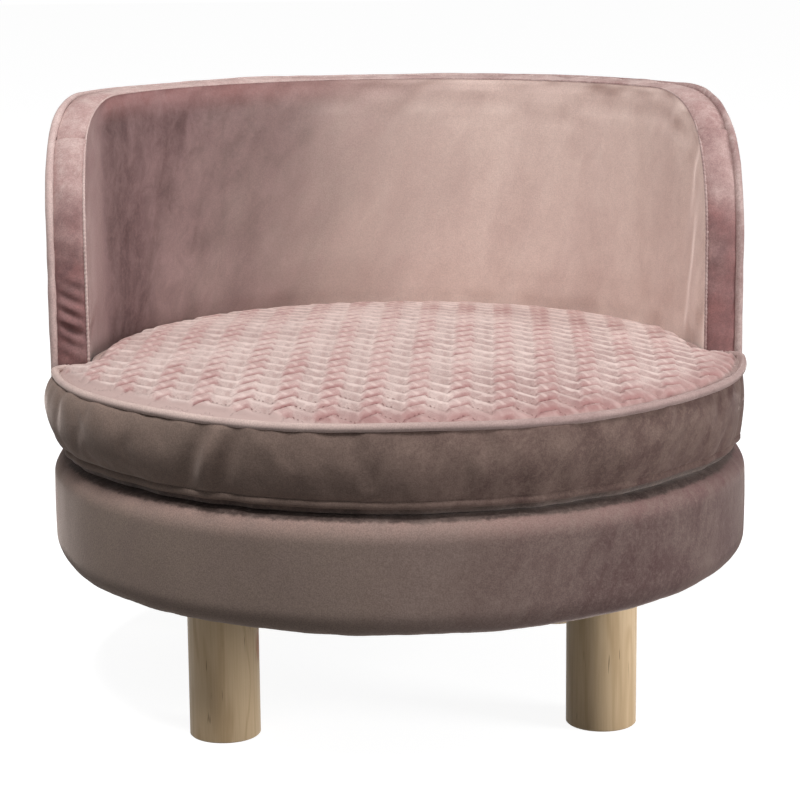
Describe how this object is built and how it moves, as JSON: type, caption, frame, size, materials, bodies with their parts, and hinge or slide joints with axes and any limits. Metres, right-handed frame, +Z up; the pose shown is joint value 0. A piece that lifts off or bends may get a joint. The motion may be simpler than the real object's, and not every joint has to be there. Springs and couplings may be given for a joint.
{
  "type": "dog sofa bed",
  "caption": "Round padded dog sofa bed on turned wooden legs, with a curved backrest and a loose quilted box cushion that lifts out.",
  "frame": {"origin": "on the floor under the middle of the round base", "axes": "+Z up; the open front faces -Y, so the backrest is on the +Y side; +X is to the right seen from the front"},
  "size_m": [0.484, 0.4842, 0.41],
  "materials": {
    "velvet": "brushed velvet pile",
    "cushion_velvet": "brushed velvet pile, quilted on top",
    "foam": "open-cell cushion foam",
    "wadding": "soft wadding",
    "lining": "thin non-woven cloth",
    "plywood": "bare plywood",
    "fibreboard": "thin bent fibreboard",
    "timber": "sawn softwood",
    "pine": "sanded pale pine, clear satin finish",
    "zinc_steel": "zinc plated",
    "zip_nylon": "dyed nylon coil and tape",
    "zip_metal": "nickel plated"
  },
  "bodies": {
    "bed": {"base_cover": "velvet", "backrest_inner_cover": "velvet", "backrest_outer_cover": "velvet", "backrest_band_top": "velvet", "backrest_band_right": "velvet", "backrest_band_left": "velvet", "backrest_piping": "velvet", "base_side_foam": "foam", "base_top_foam": "foam", "backrest_inner_foam": "foam", "backrest_outer_padding": "wadding", "dust_cover": "lining", "backrest_bottom_strip": "lining", "base_bottom_board": "plywood", "base_top_board": "plywood", "backrest_panel": "plywood", "backrest_bottom_rail": "plywood", "base_ring_wall": "fibreboard", "base_spacer_blocks": "timber", "leg_front_left": "pine", "leg_front_right": "pine", "leg_rear_left": "pine", "leg_rear_right": "pine", "leg_t_nuts": "zinc_steel", "leg_hanger_bolts": "zinc_steel", "rail_inserts": "zinc_steel", "backrest_washers": "zinc_steel", "backrest_bolts": "zinc_steel"},
    "cushion": {"cushion_bottom_panel": "cushion_velvet", "cushion_top_panel": "cushion_velvet", "cushion_front_band": "cushion_velvet", "cushion_ear_right": "cushion_velvet", "cushion_ear_left": "cushion_velvet", "cushion_rear_band": "cushion_velvet", "cushion_piping": "cushion_velvet", "cushion_foam": "foam", "zip_tape": "zip_nylon", "zip_chain": "zip_nylon"},
    "zip_slider": {"zip_slider": "zip_metal"},
    "zip_pull": {"zip_pull": "zip_metal"}
  },
  "joints": [
    {"name": "cushion_lift", "type": "slide", "parent": "bed", "child": "cushion", "axis": [0, 0, 1], "range_m": [0, 0.26]},
    {"name": "zip_travel", "type": "hinge", "parent": "cushion", "child": "zip_slider", "pos_m": [0, 0, 0.1997], "axis": [0, 0, 1], "range_deg": [0, 115]},
    {"name": "zip_pull_swing", "type": "hinge", "parent": "zip_slider", "child": "zip_pull", "pos_m": [0.18108, 0.11498, 0.1997], "axis": [0.8442, 0.5361, 0], "range_deg": [-40, 40]}
  ]
}
